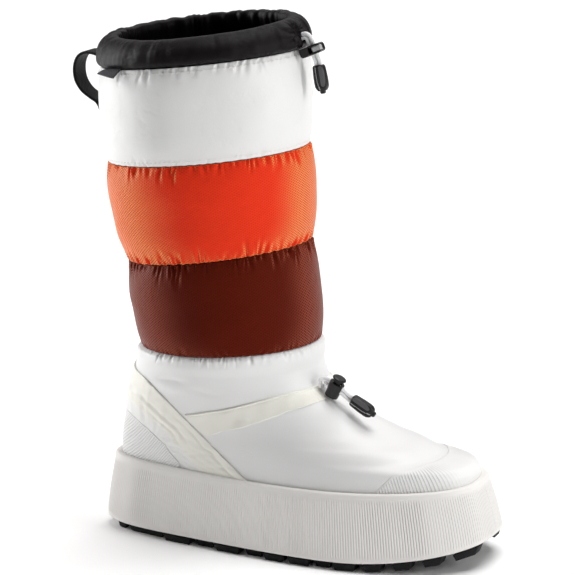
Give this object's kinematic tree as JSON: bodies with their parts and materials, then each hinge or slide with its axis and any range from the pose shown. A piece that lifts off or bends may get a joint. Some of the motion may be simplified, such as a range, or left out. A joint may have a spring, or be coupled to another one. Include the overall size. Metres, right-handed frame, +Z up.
{
  "type": "winter boot",
  "caption": "Tall quilted winter boot for the right foot: thick ribbed platform sole, padded banded shaft, gathered collar, ankle strap, cord locks and a rear pull loop.",
  "frame": {"origin": "bottom centre of the boot's box on the floor, free cords and the locks and ends on them left out", "axes": "+X toward the toe, +Y toward the wearer's left (the inner side), +Z up the shaft"},
  "size_m": [0.3174, 0.1404, 0.3793],
  "materials": {
    "outsole_rubber": "matte black rubber",
    "midsole_foam": "matte white foam with fine ribs",
    "lining": "black textile",
    "white_shell": "white coated nylon outside, black textile inside",
    "rust_quilt": "rust quilted nylon with fine weave",
    "orange_quilt": "orange quilted nylon with fine weave",
    "white_quilt": "white quilted nylon",
    "cuff_satin": "black gathered satin",
    "ribbed_film": "white ribbed reinforcement",
    "cream_strap": "cream coated tape",
    "black_webbing": "black webbing",
    "grey_tab": "dark grey woven tab",
    "white_cord": "white elastic cord",
    "black_plastic": "black moulded plastic",
    "grey_plastic": "grey moulded plastic"
  },
  "bodies": {
    "boot": {"outsole": "outsole_rubber", "midsole": "midsole_foam", "insole": "lining", "upper": "white_shell", "shaft_panel_lower": "rust_quilt", "shaft_panel_middle": "orange_quilt", "shaft_panel_upper": "white_quilt", "collar_cuff": "cuff_satin", "toe_cap": "ribbed_film", "heel_counter": "ribbed_film", "heel_strap": "cream_strap", "ankle_strap_outer": "cream_strap", "ankle_strap_inner": "cream_strap", "pull_loop": "black_webbing", "side_tab": "grey_tab", "collar_cord_inner": "white_cord", "collar_cord_outer": "white_cord", "ankle_cord_inner": "white_cord", "ankle_cord_outer": "white_cord", "collar_lock_body": "black_plastic", "collar_cord_end": "black_plastic", "ankle_lock_body": "black_plastic", "ankle_cord_end": "black_plastic"},
    "collar_button": {"collar_lock_button": "grey_plastic"},
    "ankle_button": {"ankle_lock_button": "black_plastic"}
  },
  "joints": [
    {"name": "collar_lock_press", "type": "slide", "parent": "boot", "child": "collar_button", "axis": [-0.9272, 0, -0.3746], "range_m": [0, 0.0025], "stiffness_N_per_m": 400},
    {"name": "ankle_lock_press", "type": "slide", "parent": "boot", "child": "ankle_button", "axis": [-0.454, 0, -0.891], "range_m": [0, 0.0025], "stiffness_N_per_m": 400}
  ]
}
